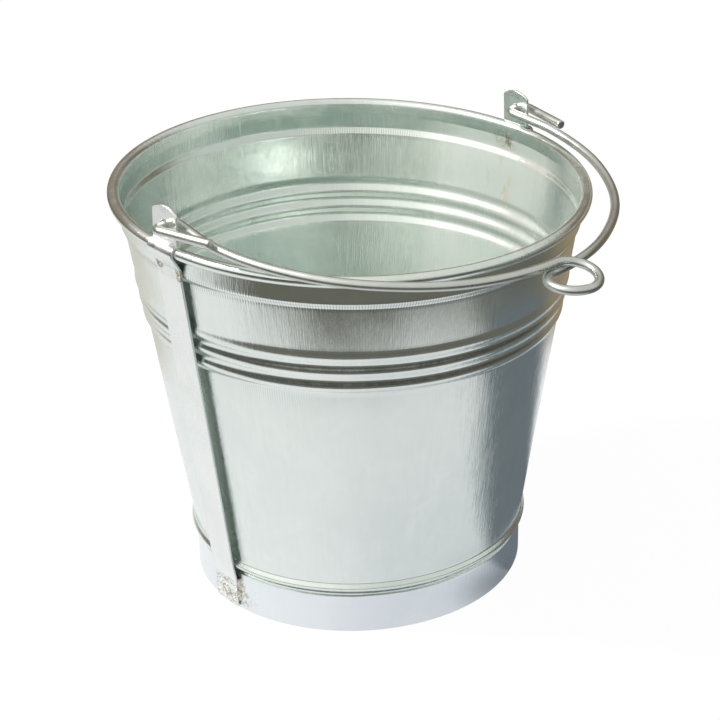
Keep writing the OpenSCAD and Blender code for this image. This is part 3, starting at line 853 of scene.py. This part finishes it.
def build_spot_welds():
    parts = []
    for side in (-1, 1):
        # on the left strap +width is seen on the right-hand side from outside, because the strap is turned round
        for w0, z0, ra, hgt, seed in ((-8.0, 259.8, 2.5, 0.34, 3), (9.0, 259.0, 1.9, 0.24, 5), (9.5, 254.6, 1.5, 0.22, 8)):
            s0 = s_at(z0)

            def place(u, v, h, s0=s0, w0=w0, ra=ra, side=side):
                return strap_surface(np.clip(w0 + u * ra, -10.9, 10.9), s0 + v * ra, h, side)

            def height(u, v, hgt=hgt, seed=seed):
                r = np.hypot(u, v)
                ringed = hgt * (0.55 + 0.45 * np.exp(-((r - 0.62) / 0.2) ** 2)) * (1 - np.clip((r - 0.72) / 0.28, 0, 1) ** 1.5)
                n = smooth_noise(np.stack([u * 3, v * 3, 0 * u], 1), seed, 2.4)
                return np.where(r < 1.0, ringed * (1 + 0.25 * n), 0) - 0.06 * (r > 0.98)

            parts.append(patch("w", place, 19, 19, height))
    v, f = join(parts)
    return make_mesh("collar_spot_marks", v, f, "bucket", ("collar_spot_welds",), MAT_WELD, sharp=60)


def build_foot_welds():
    parts = []
    g = np.random.default_rng(11)
    for side in (-1, 1):
        for edge in (-1, 1):
            # a rough fillet down the strap's edge, from just under the bead to near its lower end
            def place(u, v, h, edge=edge, side=side):
                # u runs down the strap's edge and v across it, from the strap's face out on to the ring
                z = 14.5 - 8.5 * u
                w = edge * (STRAP_W / 2 + 1.7 + 3.0 * v)
                base_ring = np.sqrt(np.maximum(FOOT_R ** 2 - w ** 2, 0)) - 0.1
                base_strap = FOOT_R + 0.05 + STRAP_T
                k = np.clip((-0.15 - v) / 0.45, 0, 1)
                x = base_ring + (base_strap - base_ring) * k * k * (3 - 2 * k) + h
                return lean_and_wrap(np.stack([x, w, z], 1), side)

            def height(u, v, edge=edge, side=side):
                n = smooth_noise(np.stack([u * 9, v * 4, 0 * u + edge * 3 + side], 1), 21, 1.6)
                lump = np.clip(0.5 + 0.9 * smooth_noise(np.stack([u * 6, v * 3.4, 0 * u + edge], 1), 33 + side, 1.9), 0, 1.2)
                across = np.clip(1 - np.abs(v) ** 2.2, 0, 1)
                along = np.clip(1 - np.abs(u) ** 6, 0, 1)
                return (0.15 + 0.6 * lump + 0.3 * n) * across * along * 0.85 - 0.22 * (1 - across * along)

            parts.append(patch("w", place, 60, 18, height, sink=0.45))
        # spatter beside the weld
        for _ in range(34):
            w0 = g.uniform(-10.0, 17.0)
            z0 = g.uniform(3.5, 24.0)
            ra = g.uniform(0.35, 0.95)

            def place(u, v, h, w0=w0, z0=z0, ra=ra, side=side):
                w, z = w0 + u * ra, z0 + v * ra
                on = np.abs(w) < STRAP_W / 2
                x = np.where(on, FOOT_R + 0.05 + STRAP_T, np.sqrt(np.maximum(FOOT_R ** 2 - w ** 2, 0))) + h
                return lean_and_wrap(np.stack([x, w, z], 1), side)

            def height(u, v, ra=ra):
                r = np.hypot(u, v)
                return 0.55 * ra * np.sqrt(np.clip(1 - r * r, 0, 1)) - 0.05

            parts.append(patch("w", place, 9, 9, height, sink=0.12))
    v, f = join(parts)
    return make_mesh("foot_weld_beads", v, f, "bucket", ("foot_fillet_welds",), MAT_WELD, sharp=70)


def build_seam():
    """The side seam's weld on the inside of the wall, with its faint ripples."""
    out = outer_profile()
    z = out[:, 1]
    m = (z > 45) & (z < 268)
    zz = np.linspace(267.0, 46.0, 420)
    order = np.argsort(z[m])
    rr = np.interp(zz, z[m][order], out[m][order, 0]) - SHEET
    nv = 9
    v2 = np.linspace(-1, 1, nv)
    a_mid = math.radians(80.0)
    verts = []
    for sink in (0, 1):
        for i, (r, h) in enumerate(zip(rr, zz)):
            for v in v2:
                rip = 0.05 * math.sin(h * 2.4) + 0.04 * math.sin(h * 0.31)
                high = (0.26 + rip) * (1 - abs(v) ** 2.5) - 0.04 if not sink else -0.25
                a = a_mid + (v * 1.15 + 0.12 * math.sin(h * 0.09)) / r
                q = r - high
                verts.append((q * math.cos(a), q * math.sin(a), h))
    N = len(zz) * nv
    f = []
    for i in range(len(zz) - 1):
        for j in range(nv - 1):
            a, b, c, d = i * nv + j, (i + 1) * nv + j, (i + 1) * nv + j + 1, i * nv + j + 1
            f.append((a, b, c, d))
            f.append((d + N, c + N, b + N, a + N))
    nu = len(zz)
    border = ([i * nv for i in range(nu)] + [(nu - 1) * nv + j for j in range(1, nv)]
              + [i * nv + nv - 1 for i in range(nu - 2, -1, -1)] + [j for j in range(nv - 2, 0, -1)])
    for a, b in zip(border, border[1:] + border[:1]):
        f.append((b, a, a + N, b + N))
    return make_mesh("side_seam_bead", np.array(verts), f, "bucket", ("side_seam_weld",), MAT_SHEET, sharp=60)


def weld_rings(m, obj, base, r):
    """A dark heat ring round each spot weld's nugget."""
    for side in (-1, 1):
        for w0, z0, ra in WELD_SPOTS:
            c = strap_surface(np.array([w0]), np.array([s_at(z0)]), 0.0, side)[0]
            d = m.new("ShaderNodeVectorMath", operation="DISTANCE")
            m.link(obj, d.inputs[0])
            d.inputs[1].default_value = tuple(float(q) * MM for q in c)
            v = d.outputs["Value"]
            ring = m.math("MULTIPLY", m.remap(v, (ra - 0.7) * MM, ra * MM), m.remap(v, (ra + 1.3) * MM, (ra + 0.35) * MM))
            base = m.mix(m.math("MULTIPLY", ring, 0.80), base, rgb(0.36, 0.34, 0.29))
            r = m.math("ADD", r, m.math("MULTIPLY", ring, 0.15))
    return base, r


WELD_SPOTS = ((-8.0, 259.8, 2.5), (9.0, 259.0, 1.9), (9.5, 254.6, 1.5))
MAT_STRAP = galvanised("galvanised_strap", coords="flat", light=(0.87, 0.885, 0.875), dark=(0.79, 0.805, 0.785),
                       crinkle=0.10, mottle=0.8, dents=0.35, rough=(0.22, 0.34), stain=0.12, marks=(foot_soil, weld_rings))

build_body()
build_rim_wire()
build_foot()
build_floor()
build_strap(-1, "ear_strap_left", "left_ear_strap")
build_strap(1, "ear_strap_right", "right_ear_strap")
build_handle()
build_spot_welds()
build_foot_welds()
build_seam()

# make sure that every closed piece has its faces turned outward
import bmesh

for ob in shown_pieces():
    if "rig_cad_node" in ob:
        continue
    bm = bmesh.new()
    bm.from_mesh(ob.data)
    bmesh.ops.recalc_face_normals(bm, faces=bm.faces)
    bm.to_mesh(ob.data)
    bm.free()


# ---------------------------------------------------------------- stage: floor, light, camera
def level(m, vector):
    """The horizontal unit direction of a vector, and its parts."""
    sep = m.new("ShaderNodeSeparateXYZ")
    m.link(vector, sep.inputs[0])
    flat = m.vec(sep.outputs[0], sep.outputs[1], 0.0)
    n = m.new("ShaderNodeVectorMath", operation="NORMALIZE")
    m.link(flat, n.inputs[0])
    ln = m.new("ShaderNodeVectorMath", operation="LENGTH")
    m.link(flat, ln.inputs[0])
    return n.outputs[0], ln.outputs["Value"], sep.outputs[2]


def floor_material():
    """A pale table for the camera. What the metal reflects of it is a glowing painted ground: painted sunlit ground,
    pale near the bucket and dark beyond, with a painted soft shadow of the bucket on the side away from the lamp."""
    m = Nodes("pale_floor")
    lp = m.new("ShaderNodeLightPath")
    geo = m.new("ShaderNodeNewGeometry")
    way, r, _ = level(m, geo.outputs["Position"])
    back_left = facing(m, way, 118, 0.36, 0.95)
    stretch = m.math("ADD", 1.0, m.math("MULTIPLY", back_left, 1.6))
    stretch = m.math("ADD", stretch, m.math("MULTIPLY", facing(m, way, 266, 0.90, 0.99), 0.10))
    stretch = m.math("ADD", stretch, m.math("MULTIPLY", facing(m, way, 186, 0.94, 0.995), 0.16))
    reach = m.remap(m.math("DIVIDE", r, stretch), 0.300, 0.425)
    front_right = facing(m, way, 275, 0.2, 1.0)
    pale = m.mix(front_right, rgb(*PALE_A), rgb(*PALE_B))
    pale = m.mix(m.remap(r, 0.10, 0.30), pale, m.mix(0.6, pale, rgb(*PALE_C)))
    ochre = m.math("MULTIPLY", facing(m, way, 72, 0.60, 0.97), m.remap(r, 0.28, 0.36))
    pale = m.mix(ochre, pale, rgb(0.70, 0.685, 0.60))
    brown = facing(m, way, 25, 0.45, 0.90)
    far = m.mix(brown, rgb(*FAR_A), rgb(*FAR_B))
    col = m.mix(reach, pale, far)
    # painted shadow of the bucket on the glowing floor, with a darker painted contact shadow near its foot
    shade = m.math("MULTIPLY", facing(m, way, 322, 0.835, 0.905), m.remap(r, 0.46, 0.40))
    contact = m.math("MULTIPLY", facing(m, way, 322, 0.45, 0.85), m.remap(r, 0.155, 0.112))
    col = m.mix(m.math("MAXIMUM", shade, m.math("MULTIPLY", contact, 0.8)), col, rgb(*SHADE))
    col = m.mix(m.remap(r, 0.80, 1.30), col, m.mix(brown, rgb(0.05, 0.05, 0.045), rgb(0.22, 0.17, 0.11)))
    deep = m.math("GREATER_THAN", lp.outputs["Glossy Depth"], 1.5)
    col = m.mix(m.math("MULTIPLY", deep, 0.90), col, rgb(0.60, 0.67, 0.65))
    # for reflected rays the floor glows with these painted colours instead of being lit
    e1 = m.new("ShaderNodeEmission")
    m.put(e1.inputs["Color"], col)
    m.put(e1.inputs["Strength"], 1.0)
    # the camera sees a pale floor with only a faint shadow on it
    e = m.new("ShaderNodeEmission")
    m.put(e.inputs["Color"], rgb(1, 1, 1))
    m.put(e.inputs["Strength"], 1.0)
    d2 = m.new("ShaderNodeBsdfDiffuse")
    m.put(d2.inputs["Color"], rgb(0.9, 0.9, 0.9))
    mixd = m.new("ShaderNodeMixShader")
    m.put(mixd.inputs[0], 0.035)
    m.link(e.outputs[0], mixd.inputs[1])
    m.link(d2.outputs[0], mixd.inputs[2])
    mx = m.new("ShaderNodeMixShader")
    m.link(lp.outputs["Is Camera Ray"], mx.inputs[0])
    m.link(e1.outputs[0], mx.inputs[1])
    m.link(mixd.outputs[0], mx.inputs[2])
    return m.finish(mx.outputs[0])


PALE_A = (0.97, 0.985, 1.00)
PALE_B = (0.74, 0.765, 0.80)
PALE_C = (0.90, 0.915, 0.91)
FAR_A = (0.140, 0.138, 0.112)
FAR_B = (0.34, 0.27, 0.17)
SHADE = (0.150, 0.178, 0.200)

me = bpy.data.meshes.new("stage_floor")
S = 6.0
me.from_pydata([(-S, -S, 0), (S, -S, 0), (S, S, 0), (-S, S, 0)], [], [(0, 1, 2, 3)])
stage = bpy.data.objects.new("stage_floor", me)
stage.location.z = -0.0004
bpy.context.scene.collection.objects.link(stage)
me.materials.append(floor_material())

world = bpy.data.worlds.new("studio")
bpy.context.scene.world = world
world.use_nodes = True
nt = world.node_tree
nt.nodes.clear()
W = Nodes.__new__(Nodes)
W.nt = nt
tc = W.new("ShaderNodeTexCoord")
way, _, zz = level(W, tc.outputs["Generated"])
lp = W.new("ShaderNodeLightPath")
# what the outside of the bucket sees: a dark skyline, brown buildings behind it and an open sky
brown_side = facing(W, way, 55, -0.10, 0.45)
open_sky = W.mix(facing(W, way, 165, 0.3, 0.97), rgb(0.74, 0.77, 0.73), rgb(1.10, 1.12, 1.06))
low = W.mix(brown_side, rgb(0.050, 0.050, 0.044), rgb(0.20, 0.150, 0.105))
edge = W.math("SUBTRACT", zz, W.math("MULTIPLY", brown_side, 0.46))
outside = W.mix(W.remap(edge, 0.02, 0.20), low, open_sky)
# what is seen after two or more reflections, inside the bucket: bright towards the sun, darker elsewhere
sep = W.new("ShaderNodeSeparateXYZ")
W.link(way, sep.inputs[0])
turn = W.math("FRACT", W.math("ADD", W.math("DIVIDE", W.math("ARCTAN2", sep.outputs[1], sep.outputs[0]), 2 * PI), 1.0))


def skyline(stops, tint):
    """Brightness round the horizon: pairs of azimuth in degrees and value."""
    n = W.new("ShaderNodeValToRGB")
    W.link(turn, n.inputs[0])
    ramp = n.color_ramp
    ramp.interpolation = "EASE"
    stops = [(0, stops[0][1])] + [q for q in stops if q[0] > 0] + [(360, stops[0][1])]
    while len(ramp.elements) < len(stops):
        ramp.elements.new(0.5)
    for e, (a, v) in zip(ramp.elements, stops):
        e.position = a / 360
        e.color = (v * tint[0] / 3, v * tint[1] / 3, v * tint[2] / 3, 1)
    return n.outputs[0]


lowish = skyline([(0, 1.25), (50, 0.14), (90, 0.62), (125, 1.15), (170, 1.20), (215, 0.36), (260, 0.40), (300, 0.60), (335, 0.85)], (1.00, 1.03, 0.93))
high = skyline([(0, 1.55), (30, 1.90), (60, 1.60), (95, 0.62), (115, 0.66), (150, 1.90), (205, 0.30), (250, 0.45), (300, 1.85), (330, 0.95)], (1.00, 1.02, 0.96))
inside = W.mix(W.math("GREATER_THAN", lp.outputs["Glossy Depth"], 2.5), lowish, high)
inside = W.mix(W.math("GREATER_THAN", lp.outputs["Glossy Depth"], 3.5), inside, rgb(0.48 / 3, 0.61 / 3, 0.56 / 3))
bright = W.new("ShaderNodeVectorMath", operation="SCALE")
W.link(inside, bright.inputs[0])
bright.inputs["Scale"].default_value = 3.0
inside = bright.outputs[0]
deep = W.math("GREATER_THAN", lp.outputs["Glossy Depth"], 1.5)
c2 = W.mix(deep, outside, inside)
bg = W.new("ShaderNodeBackground")
W.put(bg.inputs["Color"], W.mix(lp.outputs["Is Camera Ray"], c2, rgb(1, 1, 1)))
W.put(bg.inputs["Strength"], W.mixf(lp.outputs["Is Camera Ray"], 1.0, 1.0))
wo = W.new("ShaderNodeOutputWorld")
W.link(bg.outputs[0], wo.inputs["Surface"])


def area(name, az, el, dist, size, power, color=(1, 1, 1), target=(0, 0, 0.14)):
    l = bpy.data.lights.new(name, "AREA")
    l.shape = "DISK"
    l.size = size
    l.energy = power
    l.color = color
    o = bpy.data.objects.new(name, l)
    bpy.context.scene.collection.objects.link(o)
    a, e = math.radians(az), math.radians(el)
    pos = Vector(target) + dist * Vector((math.cos(a) * math.cos(e), math.sin(a) * math.cos(e), math.sin(e)))
    o.location = pos
    o.rotation_mode = "QUATERNION"
    o.rotation_quaternion = (pos - Vector(target)).to_track_quat("Z", "Y")
    return o


area("key", 140, 48, 3.0, 0.40, 110, (1.0, 0.985, 0.95))

cam = bpy.data.cameras.new("view")
cam.sensor_width = 36.0
cam.lens = 107.09246
SHIFT_X = -0.6142767
cam.shift_x = SHIFT_X
cam.shift_y = -0.0017547
cam.clip_start, cam.clip_end = 0.05, 50
co = bpy.data.objects.new("view", cam)
bpy.context.scene.collection.objects.link(co)
X = Vector((0.5986983, -0.7971758, 0.0779169))
Y = Vector((0.3179236, 0.3257954, 0.8903830))
Z = Vector((-0.7351768, -0.5082991, 0.4484942))
rot = Matrix((X, Y, Z)).transposed()
co.location = (-0.8777891, -0.9677927, 0.8126527)
co.rotation_mode = "QUATERNION"
co.rotation_quaternion = rot.to_quaternion()
bpy.context.view_layer.update()
bpy.context.scene.camera = co
# the photograph is a crop from one side of a wider picture, so this camera's lens is shifted sideways;
# the shift belongs to this standpoint only, and falls to zero when the camera is moved to look from elsewhere
shifted = cam.driver_add("shift_x")
shifted.driver.type = "SUM"
place = shifted.driver.variables.new()
place.type = "LOC_DIFF"
place.targets[0].id = co
place.targets[1].id = stage
for mod in list(shifted.modifiers):
    shifted.modifiers.remove(mod)
while len(shifted.keyframe_points):
    shifted.keyframe_points.remove(shifted.keyframe_points[0])
away = (co.location - stage.location).length
for at, value in ((-0.06, 0.0), (-0.03, SHIFT_X), (0.03, SHIFT_X), (0.06, 0.0)):
    key = shifted.keyframe_points.insert(away + at, value)
    key.interpolation = "LINEAR"
shifted.extrapolation = "CONSTANT"
shifted.update()
bpy.context.scene.cycles.glossy_bounces = 9  # the inside of the bucket is lit by many reflections
bpy.context.scene.view_settings.view_transform = "Standard"
bpy.context.scene.view_settings.look = "None"
